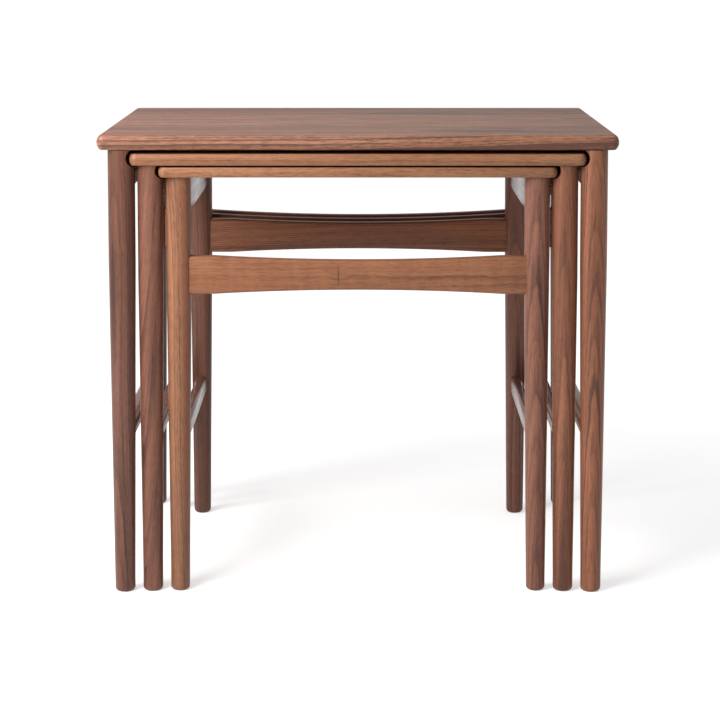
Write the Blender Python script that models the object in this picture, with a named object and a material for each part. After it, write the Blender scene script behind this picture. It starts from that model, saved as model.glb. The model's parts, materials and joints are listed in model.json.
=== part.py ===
"""A nest of three walnut tables. The middle and the small table each slide in under the next larger one.

Metres, +Z up. The feet stand on Z = 0, the fronts face -Y, and the origin is under the middle of the
large top.
Run with: blender --background --python part.py
"""
import math

import bmesh
import bpy
from mathutils import Matrix, Vector

# ---- The large table's overall size ----
WIDTH = 0.545
DEPTH = 0.390
HEIGHT = 0.495

# ---- How the tables nest ----
SIDE_CLEARANCE = 0.0019  # a nested top's end to the inner face of the apron beside it
FRONT_STEP = 0.0015  # a nested top's front edge, back from the front edge above it
BACK_CLEARANCE = 0.0010  # a nested back leg to the back rail behind it
GROOVE_CLEARANCE = 0.0035  # a leg groove to the end of the top that runs in it
GROOVE_RISE = 0.0010  # a leg groove's middle, above the middle of that top

# ---- Fits and joints shared by the three tables ----
FIT_GAP = 0.0003  # between pieces that touch
CUT_PAST = 0.003  # a cutter runs on by this past the face that it leaves
LEG_LEAN = math.tan(math.radians(0.6))  # each leg leans out by this, sideways and lengthways
STRAIGHT_LENGTH = 0.120  # the untapered top end of a leg
FOOT_ROUNDING = 0.0045
BACK_OVERHANG = 0.0025  # a nested top's back edge, past its back legs
TOP_CORNER = 0.008  # plan radius of a top's corners
APRON_THICKNESS = 0.015
APRON_HEIGHT = 0.044
APRON_ROUNDING = 0.0015
APRON_TENON = (0.008, 0.018)  # thickness and height
APRON_TENON_RISE = 0.0025  # from the apron's lower edge, so that it passes below the leg groove
RAIL_THICKNESS = 0.014
RAIL_ROUNDING = 0.003
RAIL_LAND = 0.024  # straight stretch of a rail next to each leg
RAIL_HOLLOW_RADIUS = 2.66  # of the long curves above and below
RAIL_TENON = (0.008, 0.024)
STRETCHER_ROUNDING = 0.005
STRETCHER_TENON_RADIUS = 0.0045
TENON_STOP = 0.002  # a tenon ends this far short of the leg's axis

# ---- Screws up through the aprons into the tops ----
SCREW_RADIUS = 0.0020
SCREW_HEAD_RADIUS = 0.0040
SCREW_HEAD_HEIGHT = 0.0026
SCREW_HEAD_FLAT = 0.0030  # radius of the head's flat end
SCREW_HEAD_SIDE = 0.0016  # height of the head's upright side
SCREW_TIP_RADIUS = 0.0006
SCREW_POINT = 0.0030
SCREW_SEAT = 0.020  # wood between the head and the top
SCREW_BITE = 0.0070  # into the top
SCREW_FROM_LEG = 0.070
COUNTERBORE_RADIUS = 0.0045

# ---- Facets ----
LEG_SIDES = 24
TENON_SIDES = 12
SCREW_SIDES = 10
NOSE_STEPS = 6  # across a top's rounded edge
CORNER_STEPS = 3
ROUNDING_STEPS = 2
FOOT_STEPS = 3
HOLLOW_STEPS = 12
SMOOTH_ANGLE = math.radians(35)  # edges sharper than this stay crisp

# ---- What differs from table to table ----
TABLES = (
    {
        "name": "large",
        "top_thickness": 0.0156,
        "nose_depth": 0.0035,  # of the arc that rounds the top's edge
        "leg_diameter": 0.0285,
        "foot_diameter": 0.0217,
        "side_overhang": 0.01025,
        "front_overhang": 0.00275,
        "rail_drop": 0.1294,  # from the underside of the top to the rail's middle
        "rail_height": 0.0485,
        "stretcher_height": 0.171,  # of its middle, above the floor
        "stretcher_section": (0.015, 0.021),
        "front_rail": False,
    },
    {
        "name": "medium",
        "gap_above": 0.0040,  # to the underside of the top that it slides under
        "top_thickness": 0.0122,
        "nose_depth": 0.0022,
        "leg_diameter": 0.0270,
        "foot_diameter": 0.0214,
        "leg_gap": 0.0023,  # sideways, to the leg of the table that it slides under
        "front_overhang": 0.0043,
        "rail_drop": 0.1152,
        "rail_height": 0.0445,
        "stretcher_height": 0.168,
        "stretcher_section": (0.014, 0.0205),
        "front_rail": False,
    },
    {
        "name": "small",
        "gap_above": 0.0019,
        "top_thickness": 0.0106,
        "nose_depth": 0.0017,
        "leg_diameter": 0.0264,
        "foot_diameter": 0.0204,
        "leg_gap": 0.0029,
        "front_overhang": 0.0047,
        "rail_drop": 0.1045,
        "rail_height": 0.0405,
        "stretcher_height": 0.1645,
        "stretcher_section": (0.013, 0.020),
        "front_rail": True,
    },
)

SIDES = (("left", -1), ("right", 1))
ENDS = (("front", -1), ("back", 1))

WALNUT_TOP = (0.262, 0.178, 0.138)
WALNUT_LEG = (0.226, 0.112, 0.074)
WALNUT_APRON = (0.200, 0.105, 0.072)
WALNUT_RAIL = (0.300, 0.140, 0.078)
STEEL = (0.550, 0.540, 0.520)
TOP_ROUGHNESS = 0.45
LEG_ROUGHNESS = 0.50
APRON_ROUGHNESS = 0.50
RAIL_ROUGHNESS = 0.45
STEEL_ROUGHNESS = 0.35


# ---- Layout ----

def leg_radius(table, z):
    """A leg's radius at a height: a cylinder above, a straight taper to the floor below."""
    top_radius = table["leg_diameter"] / 2
    foot_radius = table["foot_diameter"] / 2
    taper_top = table["under_z"] - STRAIGHT_LENGTH
    return foot_radius + (top_radius - foot_radius) * min(z / taper_top, 1.0)


def leg_axis(table, side, end, z):
    """The middle of one leg at a height."""
    foot_y = table["foot_front"] if end < 0 else table["foot_back"]
    return Vector((side * (table["foot_x"] - LEG_LEAN * z), foot_y - end * LEG_LEAN * z, z))


def lay_out(sizes, outer):
    """Every place on one table, worked out from its sizes and the table that it slides under."""
    table = dict(sizes)
    radius = table["leg_diameter"] / 2
    if outer is None:
        table["half_width"] = WIDTH / 2
        table["front"] = -DEPTH / 2
        table["top_z"] = HEIGHT
    else:
        table["half_width"] = outer["apron_x"] - APRON_THICKNESS / 2 - SIDE_CLEARANCE
        table["front"] = outer["front"] + FRONT_STEP
        table["top_z"] = outer["under_z"] - table["gap_above"]
    table["under_z"] = table["top_z"] - table["top_thickness"]
    spread = LEG_LEAN * table["under_z"]
    table["foot_front"] = table["front"] + table["front_overhang"] + radius - spread
    if outer is None:
        table["foot_x"] = table["half_width"] - table["side_overhang"] - radius + spread
        table["back"] = DEPTH / 2
        table["foot_back"] = table["back"] - table["front_overhang"] - radius + spread
    else:
        table["foot_x"] = outer["foot_x"] - outer["leg_diameter"] / 2 - table["leg_gap"] - radius
        behind_z = outer["rail_z"]
        reach = leg_radius(table, behind_z) + BACK_CLEARANCE + RAIL_THICKNESS / 2
        table["foot_back"] = outer["rail_y"] - reach + LEG_LEAN * behind_z
        table["back"] = table["foot_back"] - spread + radius + BACK_OVERHANG
    table["apron_z"] = table["under_z"] - APRON_HEIGHT / 2
    table["apron_x"] = leg_axis(table, 1, 1, table["apron_z"]).x
    table["rail_z"] = table["under_z"] - table["rail_drop"]
    table["rail_y"] = leg_axis(table, 1, 1, table["rail_z"]).y
    return table


# ---- Building blocks ----

def new_object(name, mesh_data):
    """An object from a bmesh, with its faces turned outwards."""
    bmesh.ops.recalc_face_normals(mesh_data, faces=mesh_data.faces)
    mesh = bpy.data.meshes.new(name)
    mesh_data.to_mesh(mesh)
    mesh_data.free()
    piece = bpy.data.objects.new(name, mesh)
    bpy.context.collection.objects.link(piece)
    return piece


def loft(name, rings):
    """A closed solid through rings of points, each ring with the same number of points."""
    solid = bmesh.new()
    loops = [[solid.verts.new(point) for point in ring] for ring in rings]
    count = len(loops[0])
    for near, far in zip(loops, loops[1:]):
        for i in range(count):
            j = (i + 1) % count
            solid.faces.new((near[i], near[j], far[j], far[i]))
    solid.faces.new(loops[0])
    solid.faces.new(loops[-1])
    return new_object(name, solid)


def circle(centre, radius, sides):
    """Points of a level circle."""
    turns = [2 * math.pi * i / sides for i in range(sides)]
    return [centre + Vector((radius * math.cos(a), radius * math.sin(a), 0)) for a in turns]


def rounded_section(half_width, low, high, rounding):
    """Points of an upright rectangle across a bar, as (across, height), with rounded corners."""
    if rounding == 0:
        return [(half_width, low), (half_width, high), (-half_width, high), (-half_width, low)]
    corners = (
        (half_width - rounding, low + rounding, -90),
        (half_width - rounding, high - rounding, 0),
        (-half_width + rounding, high - rounding, 90),
        (-half_width + rounding, low + rounding, 180),
    )
    points = []
    for across, height, start in corners:
        for i in range(ROUNDING_STEPS + 1):
            a = math.radians(start + 90 * i / ROUNDING_STEPS)
            points.append((across + rounding * math.cos(a), height + rounding * math.sin(a)))
    return points


def bar(name, start, end, thickness, edges, rounding=0.0, stations=(-1.0, 1.0)):
    """A bar between two level points. edges(t) gives its two edge heights at each station t, -1 to 1."""
    along = (end - start) / 2
    middle = (start + end) / 2
    across = Vector((along.y, -along.x, 0)).normalized()
    rings = []
    for t in stations:
        low, high = edges(t)
        centre = middle + along * t
        base = Vector((centre.x, centre.y, 0))
        section = rounded_section(thickness / 2, low, high, rounding)
        rings.append([base + across * a + Vector((0, 0, h)) for a, h in section])
    return loft(name, rings)


def upright_cylinder(name, foot, low, high, radius, sides):
    """A cylinder that stands over a point."""
    rings = [circle(Vector((foot.x, foot.y, z)), radius, sides) for z in (low, high)]
    return loft(name, rings)


def level_cylinder(name, start, end, radius, sides):
    """A cylinder that lies between two points of the same height."""
    direction = (end - start).normalized()
    across = Vector((-direction.y, direction.x, 0))
    turns = [2 * math.pi * (i + 0.5) / sides for i in range(sides)]
    spokes = [across * (radius * math.cos(a)) + Vector((0, 0, radius * math.sin(a))) for a in turns]
    return loft(name, [[centre + spoke for spoke in spokes] for centre in (start, end)])


def combine(piece, tool, operation):
    """Joins a tool to a piece, or cuts it out of the piece, and removes the tool."""
    modifier = piece.modifiers.new(operation.lower(), "BOOLEAN")
    modifier.operation = operation
    modifier.object = tool
    with bpy.context.temp_override(object=piece, active_object=piece, selected_objects=[piece]):
        bpy.ops.object.modifier_apply(modifier=modifier.name)
    bpy.data.objects.remove(tool)


def finish(piece, origin, table_empty, colour, roughness, metallic=0.0):
    """Gives a piece its origin, its parent, smooth round faces and its own material."""
    piece.data.transform(Matrix.Translation(-origin))
    piece.parent = table_empty
    piece.location = origin - table_empty.location
    piece.data.shade_smooth()
    piece.data.set_sharp_from_angle(angle=SMOOTH_ANGLE)
    material = bpy.data.materials.new(piece.name)
    material.use_nodes = True
    shader = material.node_tree.nodes["Principled BSDF"]
    shader.inputs["Base Color"].default_value = (*colour, 1.0)
    shader.inputs["Roughness"].default_value = roughness
    shader.inputs["Metallic"].default_value = metallic
    piece.data.materials.clear()
    piece.data.materials.append(material)


# ---- Tenons, shared by a bar and the legs it enters ----

def straight_edges(low, high):
    """Edge heights of a bar with parallel edges."""
    return lambda t: (low, high)


def apron_tenon(table, side, grow=0.0):
    """A bar through an apron whose two ends are its tenons. grow makes the mortise's shape."""
    low = table["under_z"] - APRON_HEIGHT + APRON_TENON_RISE
    high = low + APRON_TENON[1]
    start, end = (leg_axis(table, side, e, table["apron_z"]) for e in (-1, 1))
    inset = Vector((0, TENON_STOP - grow, 0))
    edges = straight_edges(low - grow, high + grow)
    return bar("tenon", start + inset, end - inset, APRON_TENON[0] + 2 * grow, edges)


def rail_tenon(table, end, grow=0.0):
    """The same for a front or back rail."""
    z = table["rail_z"]
    half = RAIL_TENON[1] / 2 + grow
    left, right = (leg_axis(table, s, end, z) for s in (-1, 1))
    inset = Vector((TENON_STOP - grow, 0, 0))
    edges = straight_edges(z - half, z + half)
    return bar("tenon", left + inset, right - inset, RAIL_TENON[0] + 2 * grow, edges)


def stretcher_tenon(table, side, grow=0.0):
    """The same for a low stretcher, whose tenons are round."""
    start, end = (leg_axis(table, side, e, table["stretcher_height"]) for e in (-1, 1))
    inset = Vector((0, TENON_STOP - grow, 0))
    return level_cylinder("tenon", start + inset, end - inset, STRETCHER_TENON_RADIUS + grow, TENON_SIDES)


def leg_shell(table, side, end):
    """A plain leg, a fit gap larger all round and open past its ends, that copes a bar's shoulder."""
    heights = (0.0, table["under_z"] - STRAIGHT_LENGTH, table["under_z"] + CUT_PAST)
    rings = []
    for z in heights:
        rings.append(circle(leg_axis(table, side, end, z), leg_radius(table, z) + FIT_GAP, LEG_SIDES))
    return loft("shell", rings)


# ---- Pieces ----

def make_top(table):
    """A board with its edge rounded to an arc, drilled from below for its screws."""
    half = table["top_thickness"] / 2
    depth = table["nose_depth"]
    nose_radius = (half ** 2 + depth ** 2) / (2 * depth)
    nose_turn = math.atan2(half, nose_radius - depth)
    corner = max(TOP_CORNER, depth + FIT_GAP)
    half_x = table["half_width"] - corner
    front = table["front"] + corner
    back = table["back"] - corner
    corners = ((half_x, back, 0), (-half_x, back, 90), (-half_x, front, 180), (half_x, front, 270))
    rings = []
    for i in range(NOSE_STEPS + 1):
        a = nose_turn * (2 * i / NOSE_STEPS - 1)
        reach = corner - nose_radius * (1 - math.cos(a))
        z = table["top_z"] - half + nose_radius * math.sin(a)
        ring = []
        for x, y, start in corners:
            for k in range(CORNER_STEPS + 1):
                turn = math.radians(start + 90 * k / CORNER_STEPS)
                ring.append(Vector((x + reach * math.cos(turn), y + reach * math.sin(turn), z)))
        rings.append(ring)
    piece = loft(table["name"] + "_top", rings)
    for _, side in SIDES:
        for _, end in ENDS:
            foot = screw_place(table, side, end)
            low = table["under_z"] - FIT_GAP
            high = table["under_z"] + SCREW_BITE + FIT_GAP
            hole = upright_cylinder("pilot", foot, low, high, SCREW_RADIUS + FIT_GAP, SCREW_SIDES)
            combine(piece, hole, "DIFFERENCE")
    return piece


def make_leg(table, inner, side_name, side, end_name, end):
    """A round leg with its mortises, and with the groove that lets the next smaller top slide in."""
    top_z = table["under_z"] - FIT_GAP
    taper_top = table["under_z"] - STRAIGHT_LENGTH
    rings = []
    for i in range(FOOT_STEPS + 1):
        a = math.radians(90 * i / FOOT_STEPS)
        z = FOOT_ROUNDING * (1 - math.cos(a))
        radius = leg_radius(table, FOOT_ROUNDING) - FOOT_ROUNDING * (1 - math.sin(a))
        rings.append(circle(leg_axis(table, side, end, z), radius, LEG_SIDES))
    for z in (taper_top, top_z):
        rings.append(circle(leg_axis(table, side, end, z), leg_radius(table, z), LEG_SIDES))
    piece = loft(f"{table['name']}_leg_{end_name}_{side_name}", rings)
    combine(piece, apron_tenon(table, side, FIT_GAP), "DIFFERENCE")
    combine(piece, stretcher_tenon(table, side, FIT_GAP), "DIFFERENCE")
    if end > 0 or table["front_rail"]:
        combine(piece, rail_tenon(table, end, FIT_GAP), "DIFFERENCE")
    if inner is not None:
        combine(piece, groove(table, inner, side, end), "DIFFERENCE")
    return piece


def groove(table, inner, side, end):
    """A rod through a leg that takes in the end of the smaller top with a clearance all round."""
    half = inner["top_thickness"] / 2
    middle = leg_axis(table, side, end, inner["top_z"] - half + GROOVE_RISE)
    middle.x = side * (inner["half_width"] - half)
    reach = Vector((0, table["leg_diameter"], 0))
    return level_cylinder("groove", middle - reach, middle + reach, half + GROOVE_CLEARANCE, LEG_SIDES)


def make_apron(table, side_name, side):
    """A side apron under the top, coped to its two legs, with a counterbored hole for each screw."""
    low = table["under_z"] - APRON_HEIGHT
    high = table["under_z"] - FIT_GAP
    start, end = (leg_axis(table, side, e, table["apron_z"]) for e in (-1, 1))
    name = f"{table['name']}_apron_{side_name}"
    piece = bar(name, start, end, APRON_THICKNESS, straight_edges(low, high), APRON_ROUNDING)
    for _, e in ENDS:
        combine(piece, leg_shell(table, side, e), "DIFFERENCE")
    combine(piece, apron_tenon(table, side), "UNION")
    seat_z = table["under_z"] - SCREW_SEAT
    for _, e in ENDS:
        foot = screw_place(table, side, e)
        bore = upright_cylinder("bore", foot, low - FIT_GAP, seat_z, COUNTERBORE_RADIUS, TENON_SIDES)
        combine(piece, bore, "DIFFERENCE")
        hole_radius = SCREW_RADIUS + FIT_GAP
        hole = upright_cylinder("hole", foot, seat_z - FIT_GAP, high + FIT_GAP, hole_radius, SCREW_SIDES)
        combine(piece, hole, "DIFFERENCE")
    return piece


def make_stretcher(table, side_name, side):
    """A low side stretcher with well rounded edges and a round tenon at each end."""
    thickness, height = table["stretcher_section"]
    z = table["stretcher_height"]
    start, end = (leg_axis(table, side, e, z) for e in (-1, 1))
    name = f"{table['name']}_stretcher_{side_name}"
    edges = straight_edges(z - height / 2, z + height / 2)
    piece = bar(name, start, end, thickness, edges, STRETCHER_ROUNDING)
    for _, e in ENDS:
        combine(piece, leg_shell(table, side, e), "DIFFERENCE")
    combine(piece, stretcher_tenon(table, side), "UNION")
    return piece


def hollow_edges(table, half_length):
    """A rail's edge heights, straight by the legs and hollowed to a long arc between, and its stations."""
    half_height = table["rail_height"] / 2
    hollow = half_length - leg_radius(table, table["rail_z"]) - RAIL_LAND
    chord = math.sqrt(RAIL_HOLLOW_RADIUS ** 2 - hollow ** 2)

    def edges(t):
        x = min(abs(t) * half_length, hollow)
        sag = math.sqrt(RAIL_HOLLOW_RADIUS ** 2 - x ** 2) - chord
        return table["rail_z"] - half_height + sag, table["rail_z"] + half_height - sag

    share = hollow / half_length
    stations = [share * (2 * i / HOLLOW_STEPS - 1) for i in range(HOLLOW_STEPS + 1)]
    return edges, [-1.0, *stations, 1.0]


def make_rail(table, end_name, end):
    """A front or back rail between two legs."""
    left, right = (leg_axis(table, s, end, table["rail_z"]) for s in (-1, 1))
    name = f"{table['name']}_{end_name}_rail"
    edges, stations = hollow_edges(table, right.x)
    piece = bar(name, left, right, RAIL_THICKNESS, edges, RAIL_ROUNDING, stations)
    for _, s in SIDES:
        combine(piece, leg_shell(table, s, end), "DIFFERENCE")
    combine(piece, rail_tenon(table, end), "UNION")
    return piece


def screw_place(table, side, end):
    """Where a screw stands in plan."""
    leg = leg_axis(table, side, end, table["apron_z"])
    return Vector((leg.x, leg.y - end * SCREW_FROM_LEG, 0))


def make_screw(table, side_name, side, end_name, end):
    """A wood screw, head down: a slightly domed head, a plain shank and a short point."""
    foot = screw_place(table, side, end)
    seat_z = table["under_z"] - SCREW_SEAT - FIT_GAP
    tip_z = table["under_z"] + SCREW_BITE
    profile = (
        (seat_z - SCREW_HEAD_HEIGHT, SCREW_HEAD_FLAT),
        (seat_z - SCREW_HEAD_SIDE, SCREW_HEAD_RADIUS),
        (seat_z, SCREW_HEAD_RADIUS),
        (seat_z, SCREW_RADIUS),
        (tip_z - SCREW_POINT, SCREW_RADIUS),
        (tip_z, SCREW_TIP_RADIUS),
    )
    rings = [circle(Vector((foot.x, foot.y, z)), radius, SCREW_SIDES) for z, radius in profile]
    return loft(f"{table['name']}_screw_{end_name}_{side_name}", rings)


def make_table(table, inner):
    """All the pieces of one table, parented to an empty on the floor in its middle."""
    empty = bpy.data.objects.new(table["name"] + "_table", None)
    empty.location = (0, (table["front"] + table["back"]) / 2, 0)
    bpy.context.collection.objects.link(empty)
    top_origin = Vector((0, empty.location.y, table["under_z"]))
    finish(make_top(table), top_origin, empty, WALNUT_TOP, TOP_ROUGHNESS)
    for side_name, side in SIDES:
        for end_name, end in ENDS:
            foot = leg_axis(table, side, end, 0.0)
            leg = make_leg(table, inner, side_name, side, end_name, end)
            finish(leg, foot, empty, WALNUT_LEG, LEG_ROUGHNESS)
            screw = make_screw(table, side_name, side, end_name, end)
            finish(screw, screw_place(table, side, end), empty, STEEL, STEEL_ROUGHNESS, metallic=1.0)
        apron_origin = Vector((side * table["apron_x"], empty.location.y, table["apron_z"]))
        apron = make_apron(table, side_name, side)
        finish(apron, apron_origin, empty, WALNUT_APRON, APRON_ROUGHNESS)
        stretcher_x = leg_axis(table, side, 1, table["stretcher_height"]).x
        stretcher_origin = Vector((stretcher_x, empty.location.y, table["stretcher_height"]))
        stretcher = make_stretcher(table, side_name, side)
        finish(stretcher, stretcher_origin, empty, WALNUT_APRON, APRON_ROUGHNESS)
    for end_name, end in ENDS:
        if end > 0 or table["front_rail"]:
            rail_y = leg_axis(table, 1, end, table["rail_z"]).y
            rail_origin = Vector((0, rail_y, table["rail_z"]))
            finish(make_rail(table, end_name, end), rail_origin, empty, WALNUT_RAIL, RAIL_ROUGHNESS)


def main():
    for old in list(bpy.data.objects):
        bpy.data.objects.remove(old)
    tables = []
    for sizes in TABLES:
        tables.append(lay_out(sizes, tables[-1] if tables else None))
    for table, inner in zip(tables, tables[1:] + [None]):
        make_table(table, inner)
    bpy.context.view_layer.update()


main()
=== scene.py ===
import json
import math

import bpy
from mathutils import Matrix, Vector

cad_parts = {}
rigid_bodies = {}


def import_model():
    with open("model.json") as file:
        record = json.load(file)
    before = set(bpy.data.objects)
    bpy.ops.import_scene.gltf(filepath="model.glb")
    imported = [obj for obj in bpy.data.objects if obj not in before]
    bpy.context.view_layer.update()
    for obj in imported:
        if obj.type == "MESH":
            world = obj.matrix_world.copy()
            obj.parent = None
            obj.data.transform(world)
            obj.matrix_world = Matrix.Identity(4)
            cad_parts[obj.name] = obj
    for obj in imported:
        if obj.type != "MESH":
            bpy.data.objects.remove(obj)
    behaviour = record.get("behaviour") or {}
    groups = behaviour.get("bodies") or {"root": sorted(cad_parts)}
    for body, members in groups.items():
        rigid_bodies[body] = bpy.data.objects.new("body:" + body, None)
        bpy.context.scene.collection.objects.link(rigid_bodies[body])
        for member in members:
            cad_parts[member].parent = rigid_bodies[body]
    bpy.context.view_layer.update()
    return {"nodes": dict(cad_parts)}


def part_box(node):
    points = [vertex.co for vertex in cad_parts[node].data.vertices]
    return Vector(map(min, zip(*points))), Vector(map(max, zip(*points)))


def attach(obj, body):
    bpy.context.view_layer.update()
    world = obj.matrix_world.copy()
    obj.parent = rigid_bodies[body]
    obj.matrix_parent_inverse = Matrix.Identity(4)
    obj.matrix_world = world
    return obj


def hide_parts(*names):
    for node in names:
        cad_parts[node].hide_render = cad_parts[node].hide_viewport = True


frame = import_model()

sides = {"left": -1, "right": 1}
ends = {"front": -1, "back": 1}
tableNames = ("large", "medium", "small")
fitGap = 0.0003  # a mortise round its tenon
copeGap = 0.0001  # a shoulder to the leg that it is scribed to
mergeGap = 0.000005  # corners closer than this are one
smoothAngle = math.radians(32)


# working on one piece at a time

def deselectAll():
    if bpy.context.object and bpy.context.object.mode != "OBJECT":
        bpy.ops.object.mode_set(mode="OBJECT")
    for other in bpy.context.view_layer.objects:
        other.select_set(False)


def makeActive(piece):
    deselectAll()
    piece.select_set(True)
    bpy.context.view_layer.objects.active = piece


def settle(name):
    # the new primitive keeps its place in its mesh
    piece = bpy.context.object
    piece.name = name
    bpy.ops.object.transform_apply(location=True, rotation=True, scale=True)
    return piece


def editPiece(piece, mode):
    makeActive(piece)
    bpy.ops.object.mode_set(mode="EDIT")
    bpy.ops.mesh.select_mode(type=mode)
    bpy.ops.mesh.select_all(action="DESELECT")


def pickEdges(piece, test):
    editPiece(piece, "EDGE")
    bpy.ops.object.mode_set(mode="OBJECT")
    points = piece.data.vertices
    for edge in piece.data.edges:
        edge.select = test(points[edge.vertices[0]].co, points[edge.vertices[1]].co)
    bpy.ops.object.mode_set(mode="EDIT")


def pickFaces(piece, test):
    editPiece(piece, "FACE")
    bpy.ops.object.mode_set(mode="OBJECT")
    for face in piece.data.polygons:
        face.select = test(face.center, face.normal)
    bpy.ops.object.mode_set(mode="EDIT")


def addBlock(name, low, high):
    deselectAll()
    bpy.ops.mesh.primitive_cube_add(size=1, location=(low + high) / 2, scale=high - low)
    return settle(name)


def addRod(name, start, end, radius, endRadius=None, count=48):
    deselectAll()
    along = end - start
    bpy.ops.mesh.primitive_cone_add(
        vertices=count,
        radius1=radius,
        radius2=radius if endRadius is None else endRadius,
        depth=along.length,
        location=(start + end) / 2,
        rotation=along.to_track_quat("Z", "Y").to_euler(),
    )
    return settle(name)


def turnRings(name, rings, count):
    # a round piece drawn up from its lowest ring, each ring a centre and a radius
    deselectAll()
    centre, radius = rings[0]
    bpy.ops.mesh.primitive_circle_add(vertices=count, radius=radius, fill_type="NGON", location=centre)
    piece = settle(name)
    editPiece(piece, "FACE")
    bpy.ops.mesh.select_all(action="SELECT")
    for nextCentre, nextRadius in rings[1:]:
        grow = nextRadius / radius
        bpy.ops.mesh.extrude_region_move(TRANSFORM_OT_translate={"value": nextCentre - centre})
        bpy.ops.transform.resize(value=(grow, grow, 1), center_override=nextCentre)
        centre, radius = nextCentre, nextRadius
    deselectAll()
    return piece


def carve(piece, tool, operation="DIFFERENCE"):
    makeActive(piece)
    modifier = piece.modifiers.new("carve", "BOOLEAN")
    modifier.operation = operation
    modifier.object = tool
    bpy.ops.object.modifier_apply(modifier=modifier.name)
    bpy.data.objects.remove(tool)


def roundSharpEdges(piece, offset, segments, sharpness=40):
    editPiece(piece, "EDGE")
    bpy.ops.mesh.edges_select_sharp(sharpness=math.radians(sharpness))
    bpy.ops.mesh.bevel(offset=offset, segments=segments, profile=0.5, clamp_overlap=True)
    deselectAll()


def finishShape(piece):
    editPiece(piece, "VERT")
    bpy.ops.mesh.select_all(action="SELECT")
    bpy.ops.mesh.remove_doubles(threshold=mergeGap)
    bpy.ops.mesh.normals_make_consistent(inside=False)
    makeActive(piece)
    bpy.ops.object.shade_smooth_by_angle(angle=smoothAngle)


def mirrorCopy(piece, name):
    # the same piece on the other side of the table
    makeActive(piece)
    bpy.ops.object.duplicate(linked=False)
    copy = bpy.context.object
    copy.name = name
    bpy.ops.transform.resize(value=(-1, 1, 1), center_override=(0, 0, 0))
    bpy.ops.object.transform_apply(location=True, rotation=True, scale=True)
    finishShape(copy)
    return copy


# legs

leg = {
    "count": 72,
    "lean": math.tan(math.radians(0.6)),  # outwards, sideways and lengthways
    "straight": 0.120,  # untapered below the top
    "footRounding": 0.0045,
    "footSteps": 7,
    "diameter": {"large": 0.0285, "medium": 0.0270, "small": 0.0264},
    "footDiameter": {"large": 0.0217, "medium": 0.0214, "small": 0.0204},
    "grooveClearance": 0.0035,
    "grooveRise": 0.0010,
    "grooveCount": 64,
}


def legTop(tableName):
    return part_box(tableName + "_leg_front_left")[1].z


def legRadius(tableName, z):
    taperTop = legTop(tableName) + fitGap - leg["straight"]
    foot = leg["footDiameter"][tableName] / 2
    return foot + (leg["diameter"][tableName] / 2 - foot) * min(z / taperTop, 1.0)


def legAxis(tableName, end, side, z):
    # the lowest ring's outer corner is the corner of the leg's box
    low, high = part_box(f"{tableName}_leg_{end}_{side}")
    reach = legRadius(tableName, leg["footRounding"]) - leg["lean"] * leg["footRounding"]
    x = (high.x if sides[side] > 0 else low.x) - sides[side] * (reach + leg["lean"] * z)
    y = (high.y if ends[end] > 0 else low.y) - ends[end] * (reach + leg["lean"] * z)
    return Vector((x, y, z))


def legShell(tableName, end, side, lowZ, highZ):
    # a leg's outside, which a shoulder is scribed to
    return addRod(
        "shell",
        legAxis(tableName, end, side, lowZ),
        legAxis(tableName, end, side, highZ),
        legRadius(tableName, lowZ) + copeGap,
        legRadius(tableName, highZ) + copeGap,
        leg["count"],
    )


def buildLeg(tableName, end, side):
    rounding = leg["footRounding"]
    full = legRadius(tableName, rounding)
    rings = []
    for i in range(leg["footSteps"] + 1):
        turn = math.radians(90 * i / leg["footSteps"])
        z = rounding * (1 - math.cos(turn))
        rings.append((legAxis(tableName, end, side, z), full - rounding * (1 - math.sin(turn))))
    topZ = legTop(tableName)
    for z in (topZ + fitGap - leg["straight"], topZ):
        rings.append((legAxis(tableName, end, side, z), legRadius(tableName, z)))
    piece = turnRings(f"{tableName}Leg{end.title()}{side.title()}", rings, leg["count"])
    carve(piece, tenonTool(f"{tableName}_apron_{side}", "apron", fitGap))
    carve(piece, tenonTool(f"{tableName}_stretcher_{side}", "stretcher", fitGap))
    if f"{tableName}_{end}_rail" in frame["nodes"]:
        carve(piece, tenonTool(f"{tableName}_{end}_rail", "rail", fitGap))
    inner = tableNames[tableNames.index(tableName) + 1:][:1]
    if inner:
        carve(piece, grooveTool(tableName, inner[0], end, side))
    return piece


def grooveTool(tableName, innerName, end, side):
    # a rod that takes in the end of the smaller top with room to slide
    low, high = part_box(innerName + "_top")
    half = (high.z - low.z) / 2
    middle = legAxis(tableName, end, side, low.z + half + leg["grooveRise"])
    middle.x = sides[side] * (high.x - half)
    reach = Vector((0, leg["diameter"][tableName], 0))
    radius = half + leg["grooveClearance"]
    return addRod("groove", middle - reach, middle + reach, radius, count=leg["grooveCount"])


# bars between the legs

bar = {
    "apron": {"rounding": 0.0015, "segments": 3, "endEase": 0.0006, "tenon": (0.008, 0.018), "rise": 0.0025},
    "stretcher": {"rounding": 0.005, "segments": 6, "endEase": 0.0014, "tenonRadius": 0.0045},
    "rail": {"rounding": 0.003, "segments": 5, "endEase": 0.0030, "tenon": (0.008, 0.024)},
}
scribe = {
    "reach": 0.010,  # the shell goes on past the bar, above and below
    "easeSegments": 3,
    "tenonCount": 32,
}
hollow = {
    "radius": 2.66,
    "land": 0.024,  # straight stretch next to each leg
    "count": 720,
}


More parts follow.
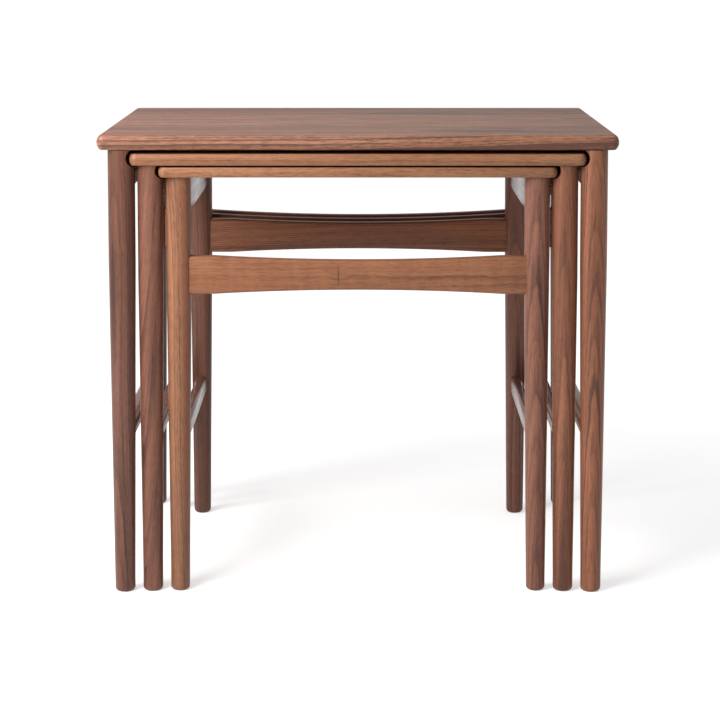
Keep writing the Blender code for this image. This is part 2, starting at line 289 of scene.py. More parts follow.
def tenonTool(node, kind, grow=0.0):
    low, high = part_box(node)
    middle = (low + high) / 2
    pad = Vector((grow, grow, grow))
    if kind == "stretcher":
        start = Vector((middle.x, low.y - grow, middle.z))
        stop = Vector((middle.x, high.y + grow, middle.z))
        return addRod("tenon", start, stop, bar[kind]["tenonRadius"] + grow, count=scribe["tenonCount"])
    half = bar[kind]["tenon"][0] / 2
    tall = bar[kind]["tenon"][1]
    if kind == "apron":
        z = low.z + bar[kind]["rise"]
        return addBlock(
            "tenon",
            Vector((middle.x - half, low.y, z)) - pad,
            Vector((middle.x + half, high.y, z + tall)) + pad,
        )
    return addBlock(
        "tenon",
        Vector((low.x, middle.y - half, middle.z - tall / 2)) - pad,
        Vector((high.x, middle.y + half, middle.z + tall / 2)) + pad,
    )


def hollowTool(tableName, low, high, up):
    # a drum that cuts one long edge of a rail to an arc
    middle = (low + high) / 2
    radius = hollow["radius"]
    legFace = legAxis(tableName, "back", "right", middle.z).x - legRadius(tableName, middle.z)
    halfSpan = legFace - hollow["land"]
    away = (high.z - low.z) / 2 + math.sqrt(radius ** 2 - halfSpan ** 2)
    centre = Vector((0, middle.y, middle.z + up * away))
    reach = Vector((0, high.y - low.y, 0))
    return addRod("drum", centre - reach, centre + reach, radius, count=hollow["count"])


def buildBar(tableName, kind, place, legs):
    node = f"{tableName}_{place}_rail" if kind == "rail" else f"{tableName}_{kind}_{place}"
    low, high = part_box(node)
    piece = addBlock(tableName + place.title() + kind.title(), low, high)
    if kind == "rail":
        for up in (-1, 1):
            carve(piece, hollowTool(tableName, low, high, up))
    roundSharpEdges(piece, bar[kind]["rounding"], bar[kind]["segments"])
    for end, side in legs:
        carve(piece, legShell(tableName, end, side, low.z - scribe["reach"], high.z + scribe["reach"]))
    roundSharpEdges(piece, bar[kind]["endEase"], scribe["easeSegments"])
    carve(piece, tenonTool(node, kind), "UNION")
    return piece


# tops

top = {
    "corner": 0.008,
    "cornerSegments": 12,
    "noseDepth": {"large": 0.0035, "medium": 0.0022, "small": 0.0017},
    "noseSteps": 9,  # from the middle of the edge up to where the easing starts
    "ease": {"large": 0.0030, "medium": 0.0010, "small": 0.0007},
    "easeSteps": 5,
    "rim": 0.0008,  # narrow border that keeps the flat faces flat
    "flatness": 0.9,  # a face that looks up or down more than this is a flat one
}


def buildTop(tableName):
    low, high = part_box(tableName + "_top")
    size = high - low
    depth = top["noseDepth"][tableName]
    half = size.z / 2
    ease = top["ease"][tableName]
    radius = (half ** 2 + depth ** 2) / (2 * depth)
    reach = math.sqrt((radius - ease) ** 2 - (half - ease) ** 2)
    easeTurn = math.atan2(half - ease, reach)
    # inset and height of each point up the edge: the wide arc, then the easing into the face
    profile = []
    for i in range(top["noseSteps"] + 1):
        turn = easeTurn * (i + 0.5) / (top["noseSteps"] + 0.5)
        profile.append((radius * (1 - math.cos(turn)), radius * math.sin(turn)))
    for i in range(1, top["easeSteps"] + 1):
        turn = easeTurn + (math.pi / 2 - easeTurn) * i / top["easeSteps"]
        profile.append((radius - reach - ease * math.cos(turn), half - ease + ease * math.sin(turn)))
    slab = Vector((0, 0, profile[0][1]))
    middle = Vector((0, 0, (low.z + high.z) / 2))
    flat = Vector((1, 1, 0))
    piece = addBlock(tableName + "TopBoard", low * flat + middle - slab, high * flat + middle + slab)
    pickEdges(piece, lambda a, b: abs(a.z - b.z) > slab.z)
    bpy.ops.mesh.bevel(offset=top["corner"], segments=top["cornerSegments"])
    pickFaces(piece, lambda centre, normal: abs(normal.z) > top["flatness"])
    inwards, upwards = 0.0, profile[0][1]
    for nextInwards, nextUpwards in profile[1:]:
        bpy.ops.mesh.inset(thickness=nextInwards - inwards, depth=nextUpwards - upwards)
        inwards, upwards = nextInwards, nextUpwards
    bpy.ops.mesh.inset(thickness=top["rim"])
    deselectAll()
    for end in ends:
        for side in sides:
            place = screwPlace(tableName, end, side)
            drill = place + Vector((0, 0, low.z - fitGap))
            stop = place + Vector((0, 0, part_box(f"{tableName}_screw_{end}_{side}")[1].z + fitGap))
            carve(piece, addRod("drill", drill, stop, screw["radius"] + fitGap, count=screw["drillCount"]))
    return piece


# screws

screw = {
    "radius": 0.0020,
    "headRadius": 0.0040,
    "headHeight": 0.0026,
    "headEdge": 0.0005,
    "crown": (3, 0.4, 1.4),  # inset, first and second height of the head's rounding, in head edges
    "point": 0.0030,
    "tip": 0.0004,
    "boreRadius": 0.0045,
    "slot": (0.0046, 0.0009, 0.0013),  # length, width and depth of the cross recess
    "count": 32,
    "drillCount": 24,
}


def screwPlace(tableName, end, side):
    low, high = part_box(f"{tableName}_screw_{end}_{side}")
    return Vector(((low.x + high.x) / 2, (low.y + high.y) / 2, 0))


def boreApron(piece, tableName, side):
    # counterbore and clearance hole for each screw
    low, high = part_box(f"{tableName}_apron_{side}")
    for end in ends:
        place = screwPlace(tableName, end, side)
        seat = Vector((0, 0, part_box(f"{tableName}_screw_{end}_{side}")[0].z + screw["headHeight"] + fitGap))
        under = Vector((0, 0, low.z - fitGap))
        over = Vector((0, 0, high.z + fitGap))
        inBore = seat - Vector((0, 0, fitGap))
        carve(piece, addRod("bore", place + under, place + seat, screw["boreRadius"]))
        carve(piece, addRod("hole", place + inBore, place + over, screw["radius"] + fitGap))


def buildScrew(node):
    low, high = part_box(node)
    axis = Vector(((low.x + high.x) / 2, (low.y + high.y) / 2, 0))
    seat = low.z + screw["headHeight"]
    inset, firstRise, secondRise = screw["crown"]
    profile = (
        (low.z, screw["headRadius"] - inset * screw["headEdge"]),
        (low.z + firstRise * screw["headEdge"], screw["headRadius"] - screw["headEdge"]),
        (low.z + secondRise * screw["headEdge"], screw["headRadius"]),
        (seat, screw["headRadius"]),
        (seat + fitGap / 3, screw["radius"]),
        (high.z - screw["point"], screw["radius"]),
        (high.z, screw["tip"]),
    )
    rings = [(axis + Vector((0, 0, z)), radius) for z, radius in profile]
    piece = turnRings("screwPattern", rings, screw["count"])
    length, width, depth = screw["slot"]
    for across in ((length, width), (width, length)):
        half = Vector((across[0] / 2, across[1] / 2, 0))
        bottom = axis + Vector((0, 0, low.z - depth))
        carve(piece, addBlock("slot", bottom - half, axis + half + Vector((0, 0, low.z + depth))))
    finishShape(piece)
    return piece


# walnut

def newGroup(name, inputs, outputs):
    tree = bpy.data.node_groups.new(name, "ShaderNodeTree")
    for label, kind, value in inputs:
        socket = tree.interface.new_socket(name=label, in_out="INPUT", socket_type=kind)
        if value is not None:
            socket.default_value = value
    for label, kind in outputs:
        tree.interface.new_socket(name=label, in_out="OUTPUT", socket_type=kind)
    return tree, tree.nodes.new("NodeGroupInput").outputs, tree.nodes.new("NodeGroupOutput").inputs


def plug(tree, socket, value):
    if hasattr(value, "is_linked"):
        tree.links.new(value, socket)
    else:
        socket.default_value = value


def addMath(tree, operation, first, second=0.5, clamp=False):
    node = tree.nodes.new("ShaderNodeMath")
    node.operation = operation
    node.use_clamp = clamp
    plug(tree, node.inputs[0], first)
    plug(tree, node.inputs[1], second)
    return node.outputs[0]


def addVectorMath(tree, operation, first, second):
    node = tree.nodes.new("ShaderNodeVectorMath")
    node.operation = operation
    plug(tree, node.inputs[0], first)
    plug(tree, node.inputs[1], second)
    return node.outputs[0]


def addMix(tree, factor, first, second):
    node = tree.nodes.new("ShaderNodeMix")
    node.data_type = "RGBA"
    node.clamp_factor = True
    plug(tree, node.inputs["Factor"], factor)
    plug(tree, node.inputs[6], first)
    plug(tree, node.inputs[7], second)
    return node.outputs[2]


def addNoise(tree, vector, stretch, seed, detail=2.0, roughness=0.5):
    # stretch is features per metre along the grain and across it
    scaled = addVectorMath(tree, "MULTIPLY", vector, (stretch[0], stretch[1], stretch[1]))
    node = tree.nodes.new("ShaderNodeTexNoise")
    node.noise_dimensions = "4D"
    plug(tree, node.inputs["Vector"], scaled)
    plug(tree, node.inputs["W"], seed)
    node.inputs["Scale"].default_value = 1.0
    node.inputs["Detail"].default_value = detail
    node.inputs["Roughness"].default_value = roughness
    return node.outputs


def addSteps(tree, value, low, high, outLow=0.0, outHigh=1.0):
    node = tree.nodes.new("ShaderNodeMapRange")
    node.interpolation_type = "SMOOTHSTEP"
    plug(tree, node.inputs["Value"], value)
    for label, number in (("From Min", low), ("From Max", high), ("To Min", outLow), ("To Max", outHigh)):
        node.inputs[label].default_value = number
    return node.outputs["Result"]


# features per metre along the grain and across it, detail, roughness, and the levels that become 0 and 1
figure = {
    "slow": ((1.6, 95.0), 1.0, 0.5, (0.36, 0.64)),
    "fine": ((5.0, 640.0), 3.0, 0.65, (0.38, 0.66)),
    "broad": ((2.0, 210.0), 2.0, 0.55, (0.40, 0.66)),
    "fleck": ((95.0, 760.0), 2.0, 0.6, (0.42, 0.66, -1.0, 1.0)),  # these become -1 and 1
    "drift": ((2.6, 17.0), 2.0, 0.5, (0.38, 0.62)),
    "pore": ((150.0, 2300.0), 1.0, 0.5, (0.60, 0.70)),
    "paintedLight": ((110.0, 24.0), 1.0, 0.5, (0.36, 0.64, -1.0, 1.0)),  # and so do these
}
# features per metre, detail and roughness again, and how far the wood is bent
bends = {
    "wander": ((2.4, 11.0), 1.0, 0.5, 0.016),
    "wave": ((22.0, 50.0), 2.0, 0.6, 0.0022),
}
knot = {
    "stretch": (1.0, 0.3, 0.09),
    "reach": (0.0, 0.014, 1.0, 0.0),
    "push": 0.0012,
    "core": (0.0002, 0.0014, 0.62, 0.0),
    "colour": (0.020, 0.009, 0.006, 1),
}
growth = {
    "varied": 0.7,  # share of a ring's strength that differs from ring to ring
    "steady": 0.3,
    "rise": (0.25, 0.90),
    "fall": (0.91, 1.0, 1.0, 0.0),
    "sapWaver": 0.0015,
    "sapEdge": (0.0, 0.003),
}
blend = {
    "fineLines": 0.42,
    "broadLines": 0.58,
    "poreDepth": 0.55,
    "poreColour": (0.012, 0.006, 0.004, 1),
    "poreRoughness": 0.22,
    "fineRoughness": 0.10,
    "fineDip": 0.35,
}


def addFigure(tree, vector, seed, name):
    stretch, detail, roughness, spread = figure[name]
    return addSteps(tree, addNoise(tree, vector, stretch, seed, detail, roughness)["Fac"], *spread)


def addBend(tree, vector, seed, name):
    stretch, detail, roughness, reach = bends[name]
    offset = addNoise(tree, vector, stretch, seed, detail, roughness)["Color"]
    offset = addVectorMath(tree, "SUBTRACT", offset, (0.5, 0.5, 0.5))
    return addVectorMath(tree, "MULTIPLY", offset, (0.0, reach, reach))


def addLength(tree, vector):
    node = tree.nodes.new("ShaderNodeVectorMath")
    node.operation = "LENGTH"
    tree.links.new(vector, node.inputs[0])
    return node.outputs["Value"]


def makeGrainGroup():
    # X runs along the grain; the rings are centred on the X axis
    tree, given, out = newGroup(
        "walnutGrain",
        (
            ("Vector", "NodeSocketVector", None),
            ("Seed", "NodeSocketFloat", 0.0),
            ("Light", "NodeSocketColor", (0.3, 0.16, 0.1, 1)),
            ("Warm", "NodeSocketColor", (0.3, 0.14, 0.08, 1)),
            ("Dark", "NodeSocketColor", (0.08, 0.04, 0.03, 1)),
            ("Sap", "NodeSocketColor", (0.5, 0.25, 0.12, 1)),
            ("Sap Start", "NodeSocketFloat", 9.0),
            ("Rings Per Metre", "NodeSocketFloat", 420.0),
            ("Rings", "NodeSocketFloat", 0.55),
            ("Bands", "NodeSocketFloat", 0.55),
            ("Streaks", "NodeSocketFloat", 0.5),
            ("Pores", "NodeSocketFloat", 0.5),
            ("Ripple", "NodeSocketFloat", 0.02),
            ("Knot", "NodeSocketVector", (9.0, 9.0, 9.0)),
            ("Fade", "NodeSocketFloat", 0.0),
            ("Speckle", "NodeSocketFloat", 0.12),
            ("Sheen", "NodeSocketFloat", 0.36),
        ),
        (
            ("Color", "NodeSocketColor"),
            ("Roughness", "NodeSocketFloat"),
            ("Height", "NodeSocketFloat"),
        ),
    )
    vector, seed = given["Vector"], given["Seed"]
    # a knot pushes the grain aside
    fromKnot = addVectorMath(tree, "SUBTRACT", vector, given["Knot"])
    fromKnot = addLength(tree, addVectorMath(tree, "MULTIPLY", fromKnot, knot["stretch"]))
    nearKnot = addSteps(tree, fromKnot, *knot["reach"])
    knotCore = addSteps(tree, fromKnot, *knot["core"])
    # the trunk wanders slowly and the fibres wave a little
    bent = addVectorMath(tree, "ADD", vector, addBend(tree, vector, seed, "wander"))
    bent = addVectorMath(tree, "ADD", bent, addBend(tree, vector, seed, "wave"))
    distance = addLength(tree, addVectorMath(tree, "MULTIPLY", bent, (0.0, 1.0, 1.0)))
    distance = addMath(tree, "ADD", distance, addMath(tree, "MULTIPLY", nearKnot, knot["push"]))
    count = addMath(tree, "MULTIPLY", distance, given["Rings Per Metre"])
    # each ring has its own tone and ends in a dark line
    part = addMath(tree, "FRACT", count)
    ring = tree.nodes.new("ShaderNodeTexWhiteNoise")
    ring.noise_dimensions = "1D"
    ringSeed = addMath(tree, "ADD", addMath(tree, "FLOOR", count), seed)
    tree.links.new(ringSeed, ring.inputs["W"])
    strength = addMath(tree, "MULTIPLY", ring.outputs["Value"], growth["varied"])
    strength = addMath(tree, "ADD", strength, growth["steady"])
    rise = addSteps(tree, part, *growth["rise"])
    fall = addSteps(tree, part, *growth["fall"])
    late = addMath(tree, "MULTIPLY", addMath(tree, "MULTIPLY", rise, fall), strength)
    late = addMath(tree, "MULTIPLY", late, given["Rings"])
    band = addMath(tree, "MULTIPLY", ring.outputs["Value"], addFigure(tree, bent, seed, "slow"))
    band = addMath(tree, "MULTIPLY", band, given["Bands"])
    # streaks and flecks along the fibres
    fine = addFigure(tree, bent, seed, "fine")
    broad = addFigure(tree, bent, seed, "broad")
    fineLines = addMath(tree, "MULTIPLY", fine, blend["fineLines"])
    lines = addMath(tree, "ADD", fineLines, addMath(tree, "MULTIPLY", broad, blend["broadLines"]))
    lines = addMath(tree, "MULTIPLY", lines, given["Streaks"])
    fleck = addFigure(tree, bent, seed, "fleck")
    lines = addMath(tree, "ADD", lines, addMath(tree, "MULTIPLY", fleck, given["Speckle"]))
    # the colours, with paler sapwood outside
    shade = addMath(tree, "ADD", addMath(tree, "ADD", late, band), lines, clamp=True)
    colour = addMix(tree, addFigure(tree, vector, seed, "drift"), given["Light"], given["Warm"])
    sapDepth = addMath(tree, "SUBTRACT", distance, given["Sap Start"])
    sapDepth = addMath(tree, "ADD", sapDepth, addMath(tree, "MULTIPLY", broad, growth["sapWaver"]))
    sapMask = addSteps(tree, sapDepth, *growth["sapEdge"])
    colour = addMix(tree, sapMask, colour, given["Sap"])
    colour = addMix(tree, shade, colour, given["Dark"])
    colour = addMix(tree, knotCore, colour, knot["colour"])
    poreMask = addMath(tree, "MULTIPLY", addFigure(tree, vector, seed, "pore"), given["Pores"])
    colour = addMix(tree, poreMask, colour, addMix(tree, blend["poreDepth"], colour, blend["poreColour"]))
    # a painted gleam across the grain, and painted shade that darkens the colour slowly from one end of the
    # piece to the other
    paintedLight = addMath(tree, "MULTIPLY", addFigure(tree, bent, seed, "paintedLight"), given["Ripple"])
    paintedLight = addMath(tree, "ADD", paintedLight, 1.0)
    along = tree.nodes.new("ShaderNodeSeparateXYZ")
    tree.links.new(vector, along.inputs[0])
    paintedLight = addMath(tree, "ADD", paintedLight, addMath(tree, "MULTIPLY", along.outputs["X"], given["Fade"]))
    scale = tree.nodes.new("ShaderNodeVectorMath")
    scale.operation = "SCALE"
    tree.links.new(colour, scale.inputs[0])
    tree.links.new(paintedLight, scale.inputs["Scale"])
    tree.links.new(scale.outputs[0], out["Color"])
    poreRough = addMath(tree, "MULTIPLY", poreMask, blend["poreRoughness"])
    rough = addMath(tree, "ADD", poreRough, addMath(tree, "MULTIPLY", fine, blend["fineRoughness"]))
    tree.links.new(addMath(tree, "ADD", rough, given["Sheen"]), out["Roughness"])
    dip = addMath(tree, "ADD", addMath(tree, "MULTIPLY", fine, blend["fineDip"]), poreMask)
    tree.links.new(addMath(tree, "SUBTRACT", 1.0, dip), out["Height"])
    return tree


def makeStaveGroup():
    # boards side by side: each one shifts the figure and has its own tone
    tree, given, out = newGroup(
        "gluedStaves",
        (
            ("Vector", "NodeSocketVector", None),
            ("Width", "NodeSocketFloat", 0.08),
            ("Seed", "NodeSocketFloat", 0.0),
        ),
        (
            ("Vector", "NodeSocketVector"),
            ("Tone", "NodeSocketFloat"),
            ("Joint", "NodeSocketFloat"),
        ),
    )
    split = tree.nodes.new("ShaderNodeSeparateXYZ")
    tree.links.new(given["Vector"], split.inputs[0])
    place = addMath(tree, "DIVIDE", split.outputs["Y"], given["Width"])
    index = addMath(tree, "FLOOR", place)
    part = addMath(tree, "FRACT", place)
    pick = tree.nodes.new("ShaderNodeTexWhiteNoise")
    pick.noise_dimensions = "1D"
    tree.links.new(addMath(tree, "ADD", index, given["Seed"]), pick.inputs["W"])
    centred = addMath(tree, "MULTIPLY", addMath(tree, "SUBTRACT", part, 0.5), given["Width"])
    shift = addVectorMath(tree, "SUBTRACT", pick.outputs["Color"], (0.5, 0.5, 0.5))
    shift = addVectorMath(tree, "MULTIPLY", shift, staves["shift"])
    join = tree.nodes.new("ShaderNodeCombineXYZ")
    tree.links.new(split.outputs["X"], join.inputs["X"])
    tree.links.new(centred, join.inputs["Y"])
    tree.links.new(split.outputs["Z"], join.inputs["Z"])
    tree.links.new(addVectorMath(tree, "ADD", join.outputs[0], shift), out["Vector"])
    tree.links.new(addMath(tree, "SUBTRACT", pick.outputs["Value"], 0.5), out["Tone"])
    edge = addMath(tree, "ABSOLUTE", addMath(tree, "SUBTRACT", part, 0.5))
    tree.links.new(addSteps(tree, edge, staves["jointStart"], 0.5), out["Joint"])
    return tree


staves = {
    "width": 0.083,
    "seed": 3.0,
    "tone": 0.36,
    "shift": (0.08, 0.030, 0.012),  # how far the figure jumps from board to board
    "jointStart": 0.492,  # share of a board from its middle to where its glue line starts
    "jointDark": 0.25,
}
grainGroup = makeGrainGroup()
staveGroup = makeStaveGroup()

wood = {
    "bumpDistance": 0.00012,
    "bumpStrength": 0.35,
    "specular": 0.28,
    "topTurn": (0, 0, 0),
    "legTurn": (0, math.radians(90), 0),
    "sideTurn": (0, 0, math.radians(90)),
}


def makeWalnut(name, centre, turn, look, staveSeed=None):
    material = bpy.data.materials.new(name)
    material.use_nodes = True
    tree = material.node_tree
    shader = tree.nodes["Principled BSDF"]
    place = tree.nodes.new("ShaderNodeTexCoord").outputs["Object"]
    centring = tree.nodes.new("ShaderNodeMapping")
    centring.inputs["Location"].default_value = -centre
    turning = tree.nodes.new("ShaderNodeMapping")
    tilt = [math.radians(angle) for angle in look["tilt"]]
    turning.inputs["Rotation"].default_value = (turn[0], turn[1] + tilt[0], turn[2] + tilt[1])
    turning.inputs["Location"].default_value = look["heart"]
    tree.links.new(place, centring.inputs["Vector"])
    tree.links.new(centring.outputs[0], turning.inputs["Vector"])
    grain = tree.nodes.new("ShaderNodeGroup")
    grain.node_tree = grainGroup
    if staveSeed is not None:
        boards = tree.nodes.new("ShaderNodeGroup")
        boards.node_tree = staveGroup
        boards.inputs["Width"].default_value = staves["width"]
        boards.inputs["Seed"].default_value = staveSeed
        tree.links.new(centring.outputs[0], boards.inputs["Vector"])
        tree.links.new(boards.outputs["Vector"], turning.inputs["Vector"])
    tree.links.new(turning.outputs[0], grain.inputs["Vector"])
    for label, value in look["grain"].items():
        grain.inputs[label].default_value = value
    colour = grain.outputs["Color"]
    if staveSeed is not None:
        tone = tree.nodes.new("ShaderNodeHueSaturation")
        amount = addMath(tree, "ADD", addMath(tree, "MULTIPLY", boards.outputs["Tone"], staves["tone"]), 1.0)
        joint = addMath(tree, "MULTIPLY", boards.outputs["Joint"], staves["jointDark"])
        amount = addMath(tree, "SUBTRACT", amount, joint)
        tree.links.new(amount, tone.inputs["Value"])
        tree.links.new(colour, tone.inputs["Color"])
        colour = tone.outputs[0]
    tree.links.new(colour, shader.inputs["Base Color"])
    tree.links.new(grain.outputs["Roughness"], shader.inputs["Roughness"])
    shader.inputs["Specular IOR Level"].default_value = wood["specular"]
    bump = tree.nodes.new("ShaderNodeBump")
    bump.inputs["Distance"].default_value = wood["bumpDistance"]
    bump.inputs["Strength"].default_value = wood["bumpStrength"]
    tree.links.new(grain.outputs["Height"], bump.inputs["Height"])
    tree.links.new(bump.outputs[0], shader.inputs["Normal"])
    return material


steel = {
    "pale": (0.62, 0.61, 0.58, 1),
    "dull": (0.44, 0.42, 0.38, 1),
    "blotches": 900.0,  # per metre
    "roughness": (0.28, 0.42),
}


def makeSteel():
    material = bpy.data.materials.new("zincPlatedSteel")
    material.use_nodes = True
    tree = material.node_tree
    shader = tree.nodes["Principled BSDF"]
    shader.inputs["Metallic"].default_value = 1.0
    place = tree.nodes.new("ShaderNodeTexCoord").outputs["Object"]
    blotch = addNoise(tree, place, (steel["blotches"], steel["blotches"]), 3.0, 3.0)["Fac"]
    shade = addSteps(tree, blotch, 0.35, 0.65)
    tree.links.new(addMix(tree, shade, steel["pale"], steel["dull"]), shader.inputs["Base Color"])
    tree.links.new(addSteps(tree, blotch, 0.3, 0.7, *steel["roughness"]), shader.inputs["Roughness"])
    return material


def finishPiece(piece, node, bodyName, material):
    finishShape(piece)
    piece.data.materials.clear()
    piece.data.materials.append(material)
    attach(piece, bodyName)
    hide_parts(node)


# each piece's board

# the wood's light, warm and dark tones
baseLooks = {
    "top": ((0.350, 0.170, 0.105), (0.316, 0.138, 0.080), (0.105, 0.044, 0.028)),
    "edge": ((0.420, 0.200, 0.105), (0.350, 0.150, 0.072), (0.140, 0.054, 0.028)),
    "cool": ((0.250, 0.105, 0.068), (0.205, 0.080, 0.048), (0.070, 0.028, 0.019)),
    "warm": ((0.330, 0.128, 0.066), (0.270, 0.098, 0.049), (0.110, 0.042, 0.026)),
    "rail": ((0.350, 0.144, 0.070), (0.300, 0.116, 0.054), (0.160, 0.058, 0.028)),
    "back": ((0.320, 0.120, 0.056), (0.260, 0.095, 0.044), (0.090, 0.033, 0.018)),
}
# heart is the middle of the trunk, tilt turns it off the length of the board; a board's painted shade darkens
# it slowly towards one end, the tops towards their right ends, away from the key light
topBoards = {
    "large": {
        "base": "top", "seed": 0.0, "heart": (0, 0.010, 0.040), "tilt": (0.6, 0.4),
        "Streaks": 0.85, "Bands": 0.7, "Fade": -0.45, "Sheen": 0.40, "Speckle": 0.24, "tone": 1.10,
    },
    "medium": {
        "base": "edge", "seed": 7.3, "heart": (0, 0.010, 0.040), "tilt": (0.6, 0.4), "tone": 0.98,
        "Streaks": 0.5, "Rings": 0.3, "Bands": 0.35, "Fade": -0.25, "Speckle": 0.2,
    },
    "small": {
        "base": "edge", "seed": 14.6, "heart": (0, 0.010, 0.040), "tilt": (0.3, 0.4), "tone": 0.76,
        "Rings": 0.3, "Streaks": 0.45, "Bands": 0.4, "Fade": -1.1, "Speckle": 0.25,
    },
}
legBoards = {
    ("large", "left"): {
        "base": "cool", "seed": 4.0, "heart": (0, -0.030, 0.020), "tilt": (0, 1.0), "tone": 0.75,
    },
    ("medium", "left"): {
        "base": "cool", "seed": 9.0, "heart": (0, -0.060, 0.090), "tilt": (-8.0, 2.0), "tone": 0.93,
        "Rings": 0.3,
    },
    # this leg carries painted shade that darkens it slowly towards one end
    ("small", "left"): {
        "base": "warm", "seed": 2.0, "heart": (0, -0.020, 0.060), "tilt": (0.6, 1.4), "tone": 0.77,
        "Rings": 0.3, "Sap": (0.320, 0.140, 0.070, 1), "Sap Start": 0.064, "Streaks": 0.4, "Fade": 0.6,
    },
    ("large", "right"): {
        "base": "warm", "seed": 7.0, "heart": (0, -0.0490, -0.005), "tilt": (0, 1.5),
        "Rings Per Metre": 484.0, "Rings": 0.7,
    },
    ("medium", "right"): {
        "base": "warm", "seed": 13.0, "heart": (0, -0.040, 0.008), "tilt": (0, 1.2), "tone": 0.9,
    },
    ("small", "right"): {
        "base": "cool", "seed": 21.0, "heart": (0, -0.045, 0.003), "tilt": (0, 1.6), "tone": 1.1,
    },
}
backLegs = {"base": "cool", "seedStep": 40.0}  # a cooler board, cut elsewhere in the trunk
sideBoard = {"base": "cool", "heart": (0, 0.030, 0.040), "tilt": (1.0, 1.0), "Sheen": 0.20}
# the front rail's painted shade darkens it slowly towards its right end, away from the key light
frontRailBoard = {
    "base": "rail", "seed": 3.0, "heart": (0, 0.045, 0.012), "tilt": (0.8, 0.5), "tone": 0.83,
    "Rings Per Metre": 560.0, "Rings": 0.35, "Bands": 0.3, "Streaks": 0.45,
    "Ripple": 0.05, "Knot": (-0.0205, 0.038, 0.012), "Fade": -0.35, "Speckle": 0.2,
}
backRailBoard = {"base": "back", "heart": (0, 0.020, 0.050), "tilt": (0.8, 0.4)}
seedSteps = {"side": 3.1, "backRail": 5.7}  # from one table to the next


def lookFor(base, seed, heart, tilt=(0, 0), tone=1.0, **changes):
    grain = {"Seed": seed}
    for label, colour in zip(("Light", "Warm", "Dark"), baseLooks[base]):
        grain[label] = (colour[0] * tone, colour[1] * tone, colour[2] * tone, 1)
    grain.update(changes)
    return {"heart": heart, "tilt": tilt, "grain": grain}


def lookForLeg(tableName, end, side):
    board = dict(legBoards[tableName, side])
    if end == "back":
        board["base"] = backLegs["base"]
        board["seed"] += backLegs["seedStep"]
        board.pop("Sap Start", None)
    return lookFor(**board)


def centreOf(node):
    low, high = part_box(node)
    return (low + high) / 2


def buildTables():
    for number, tableName in enumerate(tableNames):
        board = buildTop(tableName)
        look = lookFor(**topBoards[tableName])
        centre = centreOf(tableName + "_top")
        material = makeWalnut(board.name + "Walnut", centre, wood["topTurn"], look, staves["seed"] + number)
        finishPiece(board, tableName + "_top", tableName, material)
        for end in ends:
            left = buildLeg(tableName, end, "left")
            right = mirrorCopy(left, f"{tableName}Leg{end.title()}Right")
            for piece, side in ((left, "left"), (right, "right")):
                node = f"{tableName}_leg_{end}_{side}"
                look = lookForLeg(tableName, end, side)
                material = makeWalnut(piece.name + "Walnut", centreOf(node), wood["legTurn"], look)
                finishPiece(piece, node, tableName, material)
        for kind in ("apron", "stretcher"):
            left = buildBar(tableName, kind, "left", (("front", "left"), ("back", "left")))
            if kind == "apron":
                boreApron(left, tableName, "left")
            right = mirrorCopy(left, f"{tableName}Right{kind.title()}")
            for piece, side in ((left, "left"), (right, "right")):
                node = f"{tableName}_{kind}_{side}"
                look = lookFor(seed=number * seedSteps["side"] + sides[side], **sideBoard)
                material = makeWalnut(piece.name + "Walnut", centreOf(node), wood["sideTurn"], look)
                finishPiece(piece, node, tableName, material)
        for end in ends:
            node = f"{tableName}_{end}_rail"
            if node not in frame["nodes"]:
                continue
            piece = buildBar(tableName, "rail", end, ((end, "left"), (end, "right")))
            if end == "front":
                look = lookFor(**frontRailBoard)
            else:
                look = lookFor(seed=number * seedSteps["backRail"], **backRailBoard)
            material = makeWalnut(piece.name + "Walnut", centreOf(node), wood["topTurn"], look)
            finishPiece(piece, node, tableName, material)
        print(tableName, "table made")


def buildScrews():
    plating = makeSteel()
    first = "large_screw_front_left"
    pattern = buildScrew(first)
    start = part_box(first)[0]
    for tableName in tableNames:
        for end in ends:
            for side in sides:
                node = f"{tableName}_screw_{end}_{side}"
                makeActive(pattern)
                bpy.ops.object.duplicate(linked=False)
                piece = bpy.context.object
                piece.name = f"{tableName}Screw{end.title()}{side.title()}"
                piece.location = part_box(node)[0] - start
                bpy.ops.object.transform_apply(location=True, rotation=True, scale=True)
                finishPiece(piece, node, tableName, plating)
    bpy.data.objects.remove(pattern)
    print("screws made")


# studio

studio = {
    "place": (0.0060, -2.3686, 0.6856),
    "pitch": 78.859,
    "turn": 0.0967,
    "lens": 104.5,
    "sensorWidth": 36,
    "floorSize": 120.0,
    "floorColour": (0.90, 0.90, 0.90, 1),
    "floorRoughness": 0.9,
    "floorLift": (0.50, 0.66),  # by the table and far away
    "floorLiftReach": (0.1, 1.4),  # how far from the middle the lift starts and stops changing
    "skyStrength": 0.42,
    "skyGlossyShare": 0.35,
    "keyPlace": (-0.88, -0.85, 1.10),
    "keyAim": (0.0, 0.0, 0.35),
    "keySize": 1.0,
    "keyPower": 28.0,
}


def addCamera():
    deselectAll()
    bpy.ops.object.camera_add(
        location=studio["place"], rotation=(math.radians(studio["pitch"]), 0, math.radians(studio["turn"]))
    )
    camera = bpy.context.object
    camera.name = "viewCamera"
    camera.data.lens = studio["lens"]
    camera.data.sensor_width = studio["sensorWidth"]
    bpy.context.scene.camera = camera


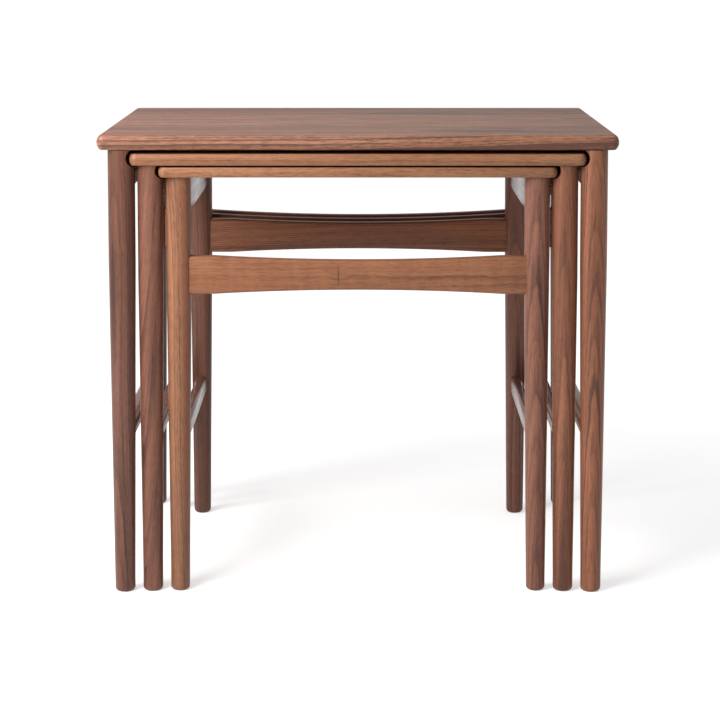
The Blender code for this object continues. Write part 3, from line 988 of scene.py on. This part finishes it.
def addFloor():
    deselectAll()
    bpy.ops.mesh.primitive_plane_add(size=studio["floorSize"])
    floor = settle("studioFloor")
    material = bpy.data.materials.new("paleFloor")
    material.use_nodes = True
    tree = material.node_tree
    shader = tree.nodes["Principled BSDF"]
    shader.inputs["Base Color"].default_value = studio["floorColour"]
    shader.inputs["Roughness"].default_value = studio["floorRoughness"]
    shader.inputs["Specular IOR Level"].default_value = 0.0
    glow = tree.nodes.new("ShaderNodeEmission")
    glow.inputs["Color"].default_value = (1, 1, 1, 1)
    ray = tree.nodes.new("ShaderNodeLightPath").outputs
    seen = addMath(tree, "MAXIMUM", ray["Is Camera Ray"], ray["Is Glossy Ray"])
    away = addLength(tree, tree.nodes.new("ShaderNodeTexCoord").outputs["Object"])
    lift = addSteps(tree, away, *studio["floorLiftReach"], *studio["floorLift"])
    tree.links.new(addMath(tree, "MULTIPLY", seen, lift), glow.inputs["Strength"])
    both = tree.nodes.new("ShaderNodeAddShader")
    tree.links.new(shader.outputs[0], both.inputs[0])
    tree.links.new(glow.outputs[0], both.inputs[1])
    tree.links.new(both.outputs[0], tree.nodes["Material Output"].inputs["Surface"])
    floor.data.materials.append(material)


def addLights():
    world = bpy.data.worlds.new("whiteStudio")
    world.use_nodes = True
    bpy.context.scene.world = world
    tree = world.node_tree
    sky = tree.nodes["Background"]
    sky.inputs["Color"].default_value = (1, 1, 1, 1)
    ray = tree.nodes.new("ShaderNodeLightPath").outputs
    glossy = addMath(tree, "MULTIPLY", ray["Is Glossy Ray"], studio["skyGlossyShare"])
    seen = addMath(tree, "MAXIMUM", ray["Is Camera Ray"], glossy)
    lift = addMath(tree, "MULTIPLY", seen, 1.0 - studio["skyStrength"])
    tree.links.new(addMath(tree, "ADD", lift, studio["skyStrength"]), sky.inputs["Strength"])
    aim = Vector(studio["keyAim"]) - Vector(studio["keyPlace"])
    deselectAll()
    bpy.ops.object.light_add(
        type="AREA", location=studio["keyPlace"], rotation=aim.to_track_quat("-Z", "Y").to_euler()
    )
    key = bpy.context.object
    key.name = "keyLight"
    key.data.size = studio["keySize"]
    key.data.energy = studio["keyPower"]


bpy.context.scene.view_settings.view_transform = "Standard"
addCamera()
addFloor()
addLights()
print("studio set")
buildTables()
buildScrews()
